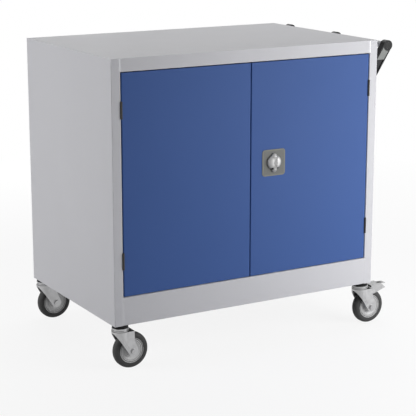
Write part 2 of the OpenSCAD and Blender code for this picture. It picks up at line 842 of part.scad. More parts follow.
// Straps that guide the two rods near the ends of the door
module rod_guides() {
    guide_h = 12;
    color(steel) placed() for (side = [-1, 1]) {
        x = lock_x + side * rod_off;
        z = side < 0 ? door_z1 - door_flange_w - guide_inset : door_z0 + door_flange_w + guide_inset;
        difference() {
            block([x - rod_w / 2 - 5, sheet, z - guide_h / 2],
                  [x + rod_w / 2 + 5, rod_y0 + rod_t + 2, z + guide_h / 2]);
            block([x - rod_w / 2 - slip, rod_y0 - slip, z - guide_h / 2 - past],
                  [x + rod_w / 2 + slip, rod_y0 + rod_t + slip, z + guide_h / 2 + past]);
        }
    }
}

// Side view of a bracket: a round head and a slightly narrower straight arm down to the cabinet
module bracket_outline(w) {
    reach = 2 * tube_out / sin(bracket_slope);
    arm_w = w - 2 * head_swell;
    intersection() {
        union() {
            translate([tube_x, tube_z]) circle(w / 2);
            translate([tube_x, tube_z]) rotate(-90 - bracket_slope)
                translate([0, -arm_w / 2]) square([reach, arm_w]);
        }
        translate([cabinet_w, foot_z - 2 * bracket_w]) square([2 * tube_out, 2 * tube_out + 4 * bracket_w]);
    }
}

// The part of a bracket's face that is sunk, and how much of it the inlay fills
module pocket_outline() {
    difference() {
        intersection() {
            bracket_outline(bracket_w - 2 * bracket_rim);
            translate([cabinet_w + bracket_rim, foot_z - 2 * bracket_w]) square([4 * tube_out, 4 * tube_out]);
        }
        translate([tube_x, tube_z]) circle(bracket_w / 2 + 1);
    }
}

module inlay_outline() {
    intersection() {
        pocket_outline();
        translate([cabinet_w, inlay_z]) square([2 * tube_out, 2 * tube_out]);
    }
}

module bracket(y) {
    y0 = y - bracket_t / 2;
    y1 = y + bracket_t / 2;
    color(black) placed() difference() {
        along_y(y0, y1) bracket_outline(bracket_w);
        along_y(y0 - past, y0 + pocket_d) pocket_outline();
        along_y(y1 - pocket_d, y1 + past) pocket_outline();
        rod_y(tube_x, tube_z, y0 - past, y1 + past, tube_dia / 2 + seat);
        for (z = bolt_zs) rod_x(y, z, cabinet_w - past, cabinet_w + bolt_grip + 1, bolt_dia / 2 + seat, 32);
    }
}

module handle_bracket_front() { bracket(bracket_ys[0]); }
module handle_bracket_middle() { bracket(bracket_ys[1]); }
module handle_bracket_rear() { bracket(bracket_ys[2]); }

// Pale inlays in the upper part of each pocket
module handle_inlays() {
    color(body_grey) placed() for (y = bracket_ys, face = [-1, 1]) {
        out = y + face * bracket_t / 2;
        sunk = out - face * pocket_d;
        skin = out - face * 0.8;
        along_y(min(sunk, skin), max(sunk, skin)) inlay_outline();
    }
}

module handle_tube() {
    color(body_grey) placed() difference() {
        rod_y(tube_x, tube_z, tube_y0, tube_y1, tube_dia / 2);
        rod_y(tube_x, tube_z, tube_y0 - past, tube_y1 + past, tube_dia / 2 - 1.5);
    }
}

// Caps pushed into the two ends of the tube
module handle_end_caps() {
    cap_r = tube_dia / 2;
    color(dark_steel) placed() for (end = [0, 1])
        translate([0, end * cabinet_d, 0]) mirror([0, end, 0]) {
            difference() {
                rod_y(tube_x, tube_z, tube_y0 - 1, tube_y0, cap_r - 0.2);
                rod_y(tube_x, tube_z, tube_y0 - 2, tube_y0 - 0.5, cap_r * 0.3);
                difference() {
                    rod_y(tube_x, tube_z, tube_y0 - 2, tube_y0 - 0.5, cap_r * 0.72);
                    rod_y(tube_x, tube_z, tube_y0 - 3, tube_y0, cap_r * 0.58);
                }
            }
            rod_y(tube_x, tube_z, tube_y0 - 0.5, tube_y0 + 8, cap_r - 1.5 - seat);
        }
}

// Bolts from inside the side panel into the brackets
module handle_bolts() {
    color(steel) placed() for (y = bracket_ys, z = bolt_zs) {
        rod_x(y, z, cabinet_w - sheet - 4, cabinet_w - sheet, bolt_dia, 6);
        rod_x(y, z, cabinet_w - sheet - 1, cabinet_w + bolt_grip, bolt_dia / 2, 32);
    }
}

// Runs its children at each caster's swivel axis
module at_swivel(x, y) {
    placed() translate([x, y, 0]) children();
}

module at_each_swivel() {
    for (x = [left_swivel_x, right_swivel_x], y = [front_swivel_y, rear_swivel_y]) at_swivel(x, y) children();
}

// Fixed upper half of the swivel head, pressed with two beads
module race() {
    r = crown_r - 0.5;
    unit_h = race_h / 12;
    rotate_extrude($fn = 96) polygon([
        [kingbolt_dia / 2 + seat, race_z], [r - 1, race_z], [r, race_z + unit_h], [r, race_z + 4 * unit_h],
        [r - 3, race_z + 5 * unit_h], [r - 3, race_z + 7 * unit_h], [r - 0.5, race_z + 8 * unit_h],
        [r - 0.5, race_z + 11 * unit_h], [r - 1.5, race_z + race_h], [kingbolt_dia / 2 + seat, race_z + race_h]
    ]);
}

module caster_races() {
    at_each_swivel() color(dark_steel) race();
}

// Black spacer between each swivel head and the chassis
module caster_spacers() {
    at_each_swivel() color(black) difference() {
        translate([0, 0, race_z + race_h]) cylinder(h = caster_h - race_z - race_h, r = crown_r - 2.5);
        translate([0, 0, race_z]) cylinder(h = caster_h, d = kingbolt_dia + 2 * seat);
    }
}

// Bolt with its head under the crown and a nut inside the chassis channel
module caster_kingbolts() {
    low = crown_z - slip - head_t;
    at_each_swivel() color(steel) {
        translate([0, 0, low]) cylinder(h = head_t, r = head_r, $fn = 6);
        translate([0, 0, low]) cylinder(h = caster_h + 16 - low, d = kingbolt_dia);
        translate([0, 0, caster_h + chassis_t]) difference() {
            cylinder(h = 9, r = head_r, $fn = 6);
            translate([0, 0, -past]) cylinder(h = 12, d = kingbolt_dia + 2 * seat);
        }
    }
}

// Plan of a fork: round behind the swivel axis and straight along the two legs
module fork_plan(inset) {
    half_w = fork_w / 2 - inset;
    circle(crown_r - inset);
    translate([0, -half_w]) square([trail + leg_end_dia, 2 * half_w]);
}

// Side view of a fork leg: slanted behind, upright in front, round at the axle
module leg_outline() {
    axle = [trail, wheel_r];
    end_r = leg_end_dia / 2;
    front_low = [front_x, crown_z - front_edge_h];
    polygon([
        [leg_rear_top[0], crown_top + past], leg_rear_top,
        touch(leg_rear_top, axle, end_r - 0.1, -1), axle, touch(front_low, axle, end_r - 0.1, 1),
        front_low, [front_x, crown_top + past]
    ]);
    translate(axle) circle(end_r);
}

// Pressed ribs beside the slanted edge of a leg
module leg_ribs() {
    end = touch(leg_rear_top, [trail, wheel_r], leg_end_dia / 2, -1);
    slope = atan2(end[1] - leg_rear_top[1], end[0] - leg_rear_top[0]);
    for (off = [6, 12]) translate(leg_rear_top) rotate(slope) translate([off * 1.4 + 2, off])
        square([norm(end - leg_rear_top) * 0.72 - off, 2.4]);
}

// Fork pressed from one sheet: a flat crown and a wall that runs round its rear into two legs
module fork(crown_front) {
    color(steel) difference() {
        union() {
            translate([0, 0, crown_z]) linear_extrude(fork_t) intersection() {
                fork_plan(0);
                translate([-fork_w, -fork_w]) square([crown_front + fork_w, 2 * fork_w]);
            }
            intersection() {
                linear_extrude(crown_top) difference() {
                    fork_plan(0);
                    fork_plan(fork_t);
                }
                along_y(-fork_w, fork_w) leg_outline();
            }
            intersection() {
                linear_extrude(crown_z) difference() {
                    fork_plan(-1);
                    fork_plan(fork_t / 2);
                }
                along_y(-fork_w, fork_w) leg_ribs();
            }
        }
        translate([0, 0, crown_z - past]) cylinder(h = fork_t + 2 * past, d = kingbolt_dia + 2 * running);
        rod_y(trail, wheel_r, -fork_w, fork_w, axle_dia / 2 + seat);
    }
}

// Axle bolt with its head outside and its nut inside
module axle() {
    reach = fork_w / 2;
    color(steel) {
        rod_y(trail, wheel_r, -reach - 1, reach + axle_head_t + 2, axle_dia / 2);
        rod_y(trail, wheel_r, -reach - axle_head_t, -reach, axle_dia * 0.9);
        difference() {
            rod_y(trail, wheel_r, reach, reach + axle_head_t, axle_dia * 0.85, 6);
            rod_y(trail, wheel_r, reach - past, reach + axle_head_t + past, axle_dia / 2 - 0.2);
        }
    }
}

// Turns a section of radius and width about the axle
module turned() {
    translate([trail, 0, wheel_r]) rotate([90, 0, 0]) rotate_extrude($fn = 96) children();
}

// Hub with its boss, dished web and ring beads, the same on both faces
module hub() {
    rim = hub_dia / 2;
    face = tyre_w / 2 - 1.5;
    boss = axle_dia / 2 + 7;
    section = [
        [axle_dia / 2 + running, hub_half], [boss - 1.5, hub_half],
        [boss, hub_half - 1.5], [boss, face - 3], [rim * 0.55, face - 3.5], [rim * 0.74, face - 1.5],
        [rim * 0.80, face - 1.5], [rim * 0.82, face - 0.2], [rim * 0.87, face - 0.2],
        [rim * 0.89, face - 1.5], [rim - 2.5, face - 1.5], [rim - 2, face], [rim, face]
    ];
    last = len(section) - 1;
    other_side = [for (n = [0 : last]) [section[last - n][0], -section[last - n][1]]];
    color(steel) turned() polygon(concat(section, other_side));
}

// Solid tyre with round shoulders
module tyre() {
    shoulder = tyre_w * 0.4;
    inner = hub_dia / 2 + seat;
    w = tyre_w / 2;
    color(rubber) turned() intersection() {
        translate([inner, -w]) square([wheel_r, tyre_w]);
        union() {
            translate([inner, -w]) square([wheel_r - shoulder - inner, tyre_w]);
            translate([inner, -w + shoulder]) square([wheel_r - inner, tyre_w - 2 * shoulder]);
            for (side = [-1, 1])
                translate([wheel_r - shoulder, side * (w - shoulder)]) circle(shoulder, $fn = 48);
        }
    }
}

// Brake pedal: two cheeks beside the tyre, a cover with a release tongue and a shoe bar
module brake_pedal() {
    p = pedal_pivot;
    tip = pedal_reach;
    top = crown_top + 9;
    cheek_tip = tip - 9;
    bend = tip - pedal_bend;
    rear = p[0] - 8;
    out = leg_in - slip;
    cheek_line = [
        [rear, p[1] - 8], [p[0] + 6, p[1] - 8], [cheek_tip - 2, p[1] + 7],
        [cheek_tip, p[1] + 9], [bend, top - 1], [rear, top - 1]
    ];
    color(steel) {
        for (side = [-1, 1]) {
            y = side * (out - pedal_t / 2);
            difference() {
                along_y(y - pedal_t / 2, y + pedal_t / 2) polygon(cheek_line);
                rod_y(p[0], p[1], y - pedal_t, y + pedal_t, pedal_pin_r + running, 32);
            }
        }
        along_y(-out, out) polygon([
            [rear, top - pedal_t], [bend - 1, top - pedal_t], [cheek_tip - 1, p[1] + 7.6],
            [cheek_tip, p[1] + 9], [bend, top], [rear, top]
        ]);
        along_y(-pedal_w / 2, pedal_w / 2) polygon([
            [bend - 6, top - pedal_t], [tip, top - pedal_t - 1], [tip, top - 1], [bend - 6, top]
        ]);
        rod_y(p[0] + shoe_at[0], p[1] + shoe_at[1], -out + pedal_t / 2, out - pedal_t / 2, shoe_r, 32);
    }
}

module fork_front_left() { at_swivel(left_swivel_x, front_swivel_y) fork(front_x); }
module fork_front_right() { at_swivel(right_swivel_x, front_swivel_y) braked_fork(); }
module fork_rear_left() { at_swivel(left_swivel_x, rear_swivel_y) fork(front_x); }
module fork_rear_right() { at_swivel(right_swivel_x, rear_swivel_y) braked_fork(); }
module axle_front_left() { at_swivel(left_swivel_x, front_swivel_y) axle(); }
module axle_front_right() { at_swivel(right_swivel_x, front_swivel_y) axle(); }
module axle_rear_left() { at_swivel(left_swivel_x, rear_swivel_y) axle(); }
module axle_rear_right() { at_swivel(right_swivel_x, rear_swivel_y) axle(); }
module hub_front_left() { at_swivel(left_swivel_x, front_swivel_y) hub(); }
module hub_front_right() { at_swivel(right_swivel_x, front_swivel_y) hub(); }
module hub_rear_left() { at_swivel(left_swivel_x, rear_swivel_y) hub(); }
module hub_rear_right() { at_swivel(right_swivel_x, rear_swivel_y) hub(); }
module tyre_front_left() { at_swivel(left_swivel_x, front_swivel_y) tyre(); }
module tyre_front_right() { at_swivel(right_swivel_x, front_swivel_y) tyre(); }
module tyre_rear_left() { at_swivel(left_swivel_x, rear_swivel_y) tyre(); }
module tyre_rear_right() { at_swivel(right_swivel_x, rear_swivel_y) tyre(); }
module brake_pedal_front() { at_swivel(right_swivel_x, front_swivel_y) brake_pedal(); }
module brake_pedal_rear() { at_swivel(right_swivel_x, rear_swivel_y) brake_pedal(); }

// Fork with ears and a pin that carry the brake pedal
module braked_fork() {
    p = pedal_pivot;
    fork(p[0] - 10);
    color(steel) {
        for (side = [-1, 1]) {
            y = side * (fork_w / 2 - fork_t / 2);
            along_y(y - fork_t / 2, y + fork_t / 2) {
                translate(p) circle(pedal_ear_r);
                translate([front_x - 3, p[1] - pedal_ear_r + 1]) square([6, 2 * pedal_ear_r - 2]);
            }
        }
        for (side = [-1, 1]) {
            low = side * fork_w / 2;
            high = side * (leg_in - pedal_t - 1);
            rod_y(p[0], p[1], min(low, high), max(low, high), pedal_pin_r, 32);
        }
    }
}

side_left();
side_right();
top_panel();
back_panel();
base_tray();
plinth();
chassis_channels();
shelf_lower();
shelf_upper();
shelf_strips();
shelf_clips();
frame_hinge_leaves();
hinge_pins();
door_left();
door_left_stiffener();
door_left_hinge_leaves();
door_left_bumpers();
door_right();
door_right_stiffener();
door_right_hinge_leaves();
door_right_bumpers();
lock_plate();
lock_case();
rod_guides();
lock_knob();
lock_spindle();
lock_pinion();
lock_cam();
cam_keeper();
key_plug();
upper_rod();
lower_rod();
handle_bracket_front();
handle_bracket_middle();
handle_bracket_rear();
handle_inlays();
handle_tube();
handle_end_caps();
handle_bolts();
caster_races();
caster_spacers();
caster_kingbolts();
fork_front_left();
axle_front_left();
hub_front_left();
tyre_front_left();
fork_front_right();
axle_front_right();
hub_front_right();
tyre_front_right();
fork_rear_left();
axle_rear_left();
hub_rear_left();
tyre_rear_left();
fork_rear_right();
axle_rear_right();
hub_rear_right();
tyre_rear_right();
brake_pedal_front();
brake_pedal_rear();
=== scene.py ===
import json
import math

import bpy
from bpy.props import FloatProperty, FloatVectorProperty, PointerProperty
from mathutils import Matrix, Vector


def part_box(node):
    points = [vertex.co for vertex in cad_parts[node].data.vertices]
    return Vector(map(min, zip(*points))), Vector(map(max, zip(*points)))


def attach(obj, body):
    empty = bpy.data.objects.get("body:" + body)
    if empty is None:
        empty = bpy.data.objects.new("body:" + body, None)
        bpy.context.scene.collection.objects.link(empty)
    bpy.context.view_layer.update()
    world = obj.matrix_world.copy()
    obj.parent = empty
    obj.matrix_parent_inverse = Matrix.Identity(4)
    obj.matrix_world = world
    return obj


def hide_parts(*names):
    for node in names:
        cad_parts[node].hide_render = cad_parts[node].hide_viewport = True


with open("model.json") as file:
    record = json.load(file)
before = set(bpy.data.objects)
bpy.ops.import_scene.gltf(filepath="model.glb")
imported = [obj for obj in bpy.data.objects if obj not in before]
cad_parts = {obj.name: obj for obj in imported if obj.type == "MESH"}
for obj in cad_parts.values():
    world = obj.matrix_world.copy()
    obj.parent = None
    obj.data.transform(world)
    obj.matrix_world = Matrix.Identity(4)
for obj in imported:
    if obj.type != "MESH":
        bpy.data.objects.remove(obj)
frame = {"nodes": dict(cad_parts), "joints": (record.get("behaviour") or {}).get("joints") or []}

bl_info = {
    "name": "Mobile cupboard finish",
    "version": (1, 0, 0),
    "blender": (4, 5, 0),
    "location": "View3D > Sidebar > Cupboard",
    "description": "Paints and plates the pieces of a mobile cupboard, shapes its chrome knob and lights it",
    "category": "Object",
}

NODES = frame["nodes"]
JOINTS = {joint["name"]: joint for joint in frame["joints"]}
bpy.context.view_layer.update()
CORNERS = ("front_left", "front_right", "rear_left", "rear_right")

# Rings of a moulded wheel disc, with painted shade in its grooves and a faint painted highlight on one step: share
# of its radius, and how bright it is painted there
HUB_PAINTED_SHADE_RINGS = (
    (0.0, 0.9), (0.40, 0.9), (0.42, 0.55), (0.46, 0.9), (0.76, 0.95), (0.79, 0.5),
    (0.82, 1.0), (0.865, 1.05), (0.885, 0.4), (0.925, 0.4), (0.95, 1.0),
)


def seen_as(red, green, blue):
    """Linear colour of what looks like these screen values from 0 to 255."""
    return tuple(
        value / 12.92 if value <= 0.04045 else ((value + 0.055) / 1.055) ** 2.4
        for value in (red / 255, green / 255, blue / 255)
    )


def scaled(colour, share):
    """The colour made lighter or darker, with its alpha."""
    return tuple(min(1.0, channel * share) for channel in tuple(colour)[:3]) + (1.0,)


def grey(level):
    """A grey of one linear level, with its alpha."""
    return (level, level, level, 1.0)


class Socket:
    """One output in a node tree, on which plain arithmetic adds Math nodes."""

    def __init__(self, tree, link):
        self.tree = tree
        self.link = link

    def maths(self, operation, first, second=0.0):
        return self.tree.node("ShaderNodeMath", {"operation": operation}, {0: first, 1: second})

    def __add__(self, other):
        return self.maths("ADD", self, other)

    def __radd__(self, other):
        return self.maths("ADD", other, self)

    def __sub__(self, other):
        return self.maths("SUBTRACT", self, other)

    def __rsub__(self, other):
        return self.maths("SUBTRACT", other, self)

    def __mul__(self, other):
        return self.maths("MULTIPLY", self, other)

    def __rmul__(self, other):
        return self.maths("MULTIPLY", other, self)

    def __pow__(self, other):
        return self.maths("POWER", self, other)

    def __rpow__(self, other):
        return self.maths("POWER", other, self)

    def __abs__(self):
        return self.maths("ABSOLUTE", self)

    def sine(self):
        return self.maths("SINE", self)

    def or_more(self, other):
        """The larger of two values."""
        return self.maths("MAXIMUM", self, other)

    def ramp(self, start, end, first=0.0, last=1.0):
        """Goes from a first to a last value while this one goes from start to end, and stays within them."""
        return self.tree.node("ShaderNodeMapRange", None, {0: self, 1: start, 2: end, 3: first, 4: last})

    def about(self, middle, spread):
        """Spreads a noise from 0 to 1 evenly about a middle value."""
        return self * spread + (middle - spread / 2)


class Tree:
    """A node tree that is filled by calls."""

    def __init__(self, owner):
        owner.use_nodes = True
        self.owner = owner
        self.nodes = owner.node_tree.nodes
        self.links = owner.node_tree.links
        self.nodes.clear()

    def node(self, kind, settings=None, sockets=None, out=0):
        """Adds one node: its settings first, then the values or links of its sockets."""
        made = self.nodes.new(kind)
        for key, value in (settings or {}).items():
            if key == "stops":
                for stop, (place, colour) in zip(self.stops_of(made, len(value)), value):
                    stop.position = place
                    stop.color = colour
            else:
                setattr(made, key, value)
        for key, value in (sockets or {}).items():
            if isinstance(value, Socket):
                self.links.new(value.link, made.inputs[key])
            else:
                made.inputs[key].default_value = value
        return Socket(self, made.outputs[out]) if made.outputs else made

    @staticmethod
    def stops_of(ramp, count):
        stops = ramp.color_ramp.elements
        while len(stops) < count:
            stops.new(0.5)
        return stops

    def outputs_of(self, socket):
        """All outputs of the node that a socket belongs to, by name."""
        return {output.name: Socket(self, output) for output in socket.link.node.outputs}

    def place(self, centre=(0.0, 0.0, 0.0), stretch=(1.0, 1.0, 1.0)):
        """Object coordinates about a centre, stretched along each axis."""
        here = self.node("ShaderNodeTexCoord", out="Object")
        moved = self.node("ShaderNodeVectorMath", {"operation": "SUBTRACT"}, {0: here, 1: centre})
        return self.node("ShaderNodeVectorMath", {"operation": "MULTIPLY"}, {0: moved, 1: stretch})

    def axes(self, centre=(0.0, 0.0, 0.0)):
        """How far a point lies from a centre along X, Y and Z, by the axis's name."""
        return self.outputs_of(self.node("ShaderNodeSeparateXYZ", None, {0: self.place(centre)}))

    def noise(self, scale, detail=2.0, stretch=(1.0, 1.0, 1.0)):
        place = self.place(stretch=stretch)
        return self.node("ShaderNodeTexNoise", None, {"Vector": place, "Scale": scale, "Detail": detail})

    def length(self, vector):
        return self.node("ShaderNodeVectorMath", {"operation": "LENGTH"}, {0: vector}, "Value")

    def radius(self, centre):
        """Distance from an axis that runs along Y through a centre."""
        return self.length(self.place(centre, (1.0, 0.0, 1.0)))

    def rings(self, centre, pitch):
        """Waves about an axis along Y, from -1 to 1."""
        return self.waves(self.radius(centre), pitch)

    @staticmethod
    def waves(along, pitch):
        return (along * (2 * math.pi / pitch)).sine()

    def blend(self, first, second, factor):
        return self.node("ShaderNodeMix", {"data_type": "RGBA"}, {0: factor, 6: first, 7: second}, 2)

    def tones(self, colour, factor, dark, light):
        """A colour that goes from a darker to a lighter share of itself."""
        return self.blend(scaled(colour, dark), scaled(colour, light), factor)

    def bump(self, height, depth, strength):
        return self.node("ShaderNodeBump", None, {"Height": height, "Distance": depth, "Strength": strength})

    def surface(self, shader):
        self.node("ShaderNodeOutputMaterial", None, {"Surface": shader})
        return self.owner

    def principled(self, **sockets):
        named = {key.replace("_", " "): value for key, value in sockets.items()}
        return self.surface(self.node("ShaderNodeBsdfPrincipled", None, named))


class ZincTree(Tree):
    """A tree with what all zinc plated pieces share: a mottle of tones and fine drawing marks."""

    metallic = 0.85
    spread = 0.22

    def __init__(self, owner, colour, along=(1.0, 1.0, 1.0)):
        super().__init__(owner)
        self.mottle = self.noise(scale=95.0, detail=4.0)
        self.plated = self.tones(colour, self.mottle, dark=0.82, light=1.14)
        self.along = along

    def marks(self):
        return self.bump(self.noise(scale=260.0, detail=3.0, stretch=self.along), depth=0.00015, strength=0.4)


def powder_coat(name, colour, roughness=0.42, sheen=0.15):
    """Baked paint: a fine orange peel over the sheet and a very slight drift of tone."""
    tree = Tree(bpy.data.materials.new(name))
    peel = tree.noise(scale=430.0, detail=3.0)
    return tree.principled(
        Base_Color=tree.tones(colour, tree.noise(scale=2.4), dark=0.975, light=1.025),
        Roughness=tree.noise(scale=11.0).about(roughness, 0.08),
        Specular_IOR_Level=sheen,
        Normal=tree.bump(peel, depth=0.00006, strength=0.5),
    )


def zinc_plate(name, colour, roughness=0.36, along=(1.0, 1.0, 1.0)):
    """Bright zinc over pressed steel: mottled, with fine drawing marks along the sheet."""
    tree = ZincTree(bpy.data.materials.new(name), colour, along)
    return tree.principled(
        Base_Color=tree.plated,
        Metallic=tree.metallic,
        Roughness=tree.mottle.about(roughness, tree.spread),
        Normal=tree.marks(),
    )


def zinc_with_shaded_crown(name, colour, crown):
    """Zinc of a fork, with painted shade that turns the top of its crown near black and not metallic."""
    tree = ZincTree(bpy.data.materials.new(name), colour)
    # Painted shade: the top of the crown, in the shadow under the cabinet, is painted near black
    painted_shade = tree.axes()["Z"].ramp(crown - 0.0008, crown - 0.0002)
    return tree.principled(
        Base_Color=tree.blend(tree.plated, grey(0.012), painted_shade),
        Metallic=tree.metallic - painted_shade * tree.metallic,
        Roughness=tree.mottle.about(0.36, tree.spread),
        Specular_IOR_Level=0.15,
        Normal=tree.marks(),
    )


def padded_zinc(name, colour, centre, half):
    """Zinc of a brake pedal with a ribbed dark rubber pad where the foot presses; the pad's dark is also painted
    shade on the pedal.
    """
    tree = ZincTree(bpy.data.materials.new(name), colour)
    edge, rib_pitch = 0.0006, 0.0035
    away = tree.axes(centre)
    along = abs(away["X"]).ramp(half[0] - edge, half[0], 1.0, 0.0)
    across = abs(away["Y"]).ramp(half[1] - edge, half[1], 1.0, 0.0)
    pad = along * across
    ribs = tree.waves(away["X"], rib_pitch)
    # Dark pad: ribbed rubber, and painted shade on the pedal's top
    rubber_and_painted_shade = tree.blend(grey(0.03), grey(0.07), ribs * 0.5 + 0.5)
    return tree.principled(
        Base_Color=tree.blend(tree.plated, rubber_and_painted_shade, pad),
        Metallic=tree.metallic - pad * tree.metallic,
        Roughness=tree.mottle.about(0.44, tree.spread) + pad * 0.2,
        Specular_IOR_Level=0.2,
        Normal=tree.bump(ribs * pad, depth=0.0003, strength=0.6),
    )


def dark_plate(name, colour):
    """Dark plated steel of the hinges, rubbed a little brighter in places."""
    tree = Tree(bpy.data.materials.new(name))
    rub = tree.noise(scale=160.0, detail=3.0)
    return tree.principled(
        Base_Color=tree.tones(colour, rub, dark=0.75, light=1.5),
        Metallic=0.4,
        Roughness=rub.about(0.52, 0.2),
        Specular_IOR_Level=0.15,
        Normal=tree.bump(rub, depth=0.0001, strength=0.4),
    )


def brushed_plate(name, colour, centre, half):
    """Satin lock plate, brushed across its width, with a slightly lighter border painted as the highlight on its
    chamfered rim.
    """
    tree = Tree(bpy.data.materials.new(name))
    # The lighter, warmer border is a painted highlight along the plate's rim
    border_tint = (1.3, 1.27, 1.14)
    wear_and_painted_highlight = tuple(channel * share for channel, share in zip(colour, border_tint)) + (1.0,)
    brushing = tree.noise(scale=900.0, stretch=(0.03, 1.0, 1.0))
    away = tree.axes(centre)
    border = abs(away["X"]).or_more(abs(away["Z"])).ramp(half - 0.005, half - 0.003)
    return tree.principled(
        Base_Color=tree.blend(tree.tones(colour, brushing, dark=0.9, light=1.1), wear_and_painted_highlight, border),
        Metallic=0.15,
        Roughness=brushing.about(0.54, 0.16),
        Specular_IOR_Level=0.12,
        Normal=tree.bump(brushing, depth=0.00005, strength=0.5),
    )


def chrome(name, colour, roughness):
    """Satin chrome with the faint haze of handling."""
    tree = Tree(bpy.data.materials.new(name))
    haze = tree.noise(scale=60.0, detail=3.0)
    return tree.principled(
        Base_Color=tree.tones(colour, haze, dark=0.9, light=1.05),
        Metallic=0.85,
        Roughness=haze.about(roughness, 0.1),
        Specular_IOR_Level=0.3,
    )


def knob_chrome(name, colour, centre, slot, spot):
    """Chrome of the knob: painted shade in its finger slot, and two spots of painted shade in the two lower
    grooves.
    """
    tree = Tree(bpy.data.materials.new(name))
    haze = tree.noise(scale=60.0, detail=3.0)
    away = tree.axes(centre)
    # Painted shade over the upright finger slot
    across = abs(away["X"]).ramp(slot[0], slot[0] * 1.25, 1.0, 0.0)
    upright = abs(away["Z"]).ramp(slot[1] * 0.9, slot[1], 1.0, 0.0)
    in_slot = across * upright
    # Two spots of painted shade in the two lower grooves
    left, right = (
        tree.radius((centre[0] + side * spot[0], 0.0, centre[2] - spot[1])).ramp(0.003, 0.005, 1.0, 0.0)
        for side in (-1, 1)
    )
    painted_shade = left.or_more(right)
    bright = tree.tones(colour, haze, dark=0.84, light=0.95)
    shaded = tree.blend(bright, scaled(colour, 0.62), in_slot)
    return tree.principled(
        Base_Color=tree.blend(shaded, scaled(colour, 0.05), painted_shade),
        Metallic=0.95,
        Roughness=haze.about(0.53, 0.1) + in_slot * 0.1 + painted_shade * 0.2,
        Specular_IOR_Level=0.3,
    )


def moulded(name, colour, roughness=0.5):
    """Moulded plastic with a spark-eroded grain."""
    tree = Tree(bpy.data.materials.new(name))
    pebble = tree.noise(scale=1440.0)
    drift = tree.noise(scale=24.0)
    return tree.principled(
        Base_Color=tree.tones(colour, drift, dark=0.93, light=1.07),
        Roughness=drift.about(roughness, 0.1),
        Specular_IOR_Level=0.1,
        Normal=tree.bump(pebble, depth=0.00008, strength=0.6),
    )


def hub_nylon(name, colour, axle, rim):
    """Silver grey nylon of a wheel disc: painted shade in the grooves between the moulded steps near its rim, a
    faint painted highlight on one step, and the turning marks of its mould.
    """
    tree = Tree(bpy.data.materials.new(name))
    fleck = tree.noise(scale=420.0, detail=3.0)
    # Painted shade in the grooves and a faint painted highlight on one step, as rings over the radius
    stops = [(place, grey(tone)) for place, tone in HUB_PAINTED_SHADE_RINGS]
    shade = tree.node("ShaderNodeValToRGB", {"stops": stops}, {0: tree.radius(axle) * (1 / rim)})
    wear_and_painted_highlight = tree.tones(colour, fleck, dark=0.84, light=1.14)
    multiply = {"data_type": "RGBA", "blend_type": "MULTIPLY"}
    return tree.principled(
        Base_Color=tree.node("ShaderNodeMix", multiply, {0: 1.0, 6: wear_and_painted_highlight, 7: shade}, 2),
        Metallic=0.34,
        Roughness=fleck.about(0.59, 0.14),
        Specular_IOR_Level=0.3,
        Normal=tree.bump(tree.rings(axle, pitch=0.0016), depth=0.00004, strength=0.5),
    )


def tyre_rubber(name, colour, axle, wheel_radius):
    """Solid grey rubber: mould rings on the walls and a slightly dusty tread."""
    tree = Tree(bpy.data.materials.new(name))
    dust = tree.noise(scale=70.0, detail=4.0)
    tread = (tree.radius(axle) * (1 / wheel_radius)) ** 18.0
    wear_and_painted_highlight = tree.tones(colour, dust, dark=0.85, light=1.15)
    return tree.principled(
        Base_Color=tree.blend(wear_and_painted_highlight, scaled(colour, 1.35), tread * dust),
        Roughness=dust.about(0.64, 0.16),
        Specular_IOR_Level=0.2,
        Normal=tree.bump(tree.rings(axle, pitch=0.0032) * 0.4 + dust, depth=0.00018, strength=0.5),
    )


def finish(names, material):
    """Gives CAD nodes a material."""
    for name in names:
        for material_slot in NODES[name].material_slots:
            material_slot.material = material


def new_piece(name, points, faces, material, body, smooth=True, replaced=()):
    """Makes a mesh piece that rides on a body."""
    mesh = bpy.data.meshes.new(name)
    mesh.from_pydata(points, [], faces)
    mesh.validate()
    mesh.polygons.foreach_set("use_smooth", [smooth] * len(mesh.polygons))
    mesh.materials.append(material)
    piece = bpy.data.objects.new(name, mesh)
    bpy.context.scene.collection.objects.link(piece)
    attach(piece, body)
    if replaced:
        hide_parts(*replaced)


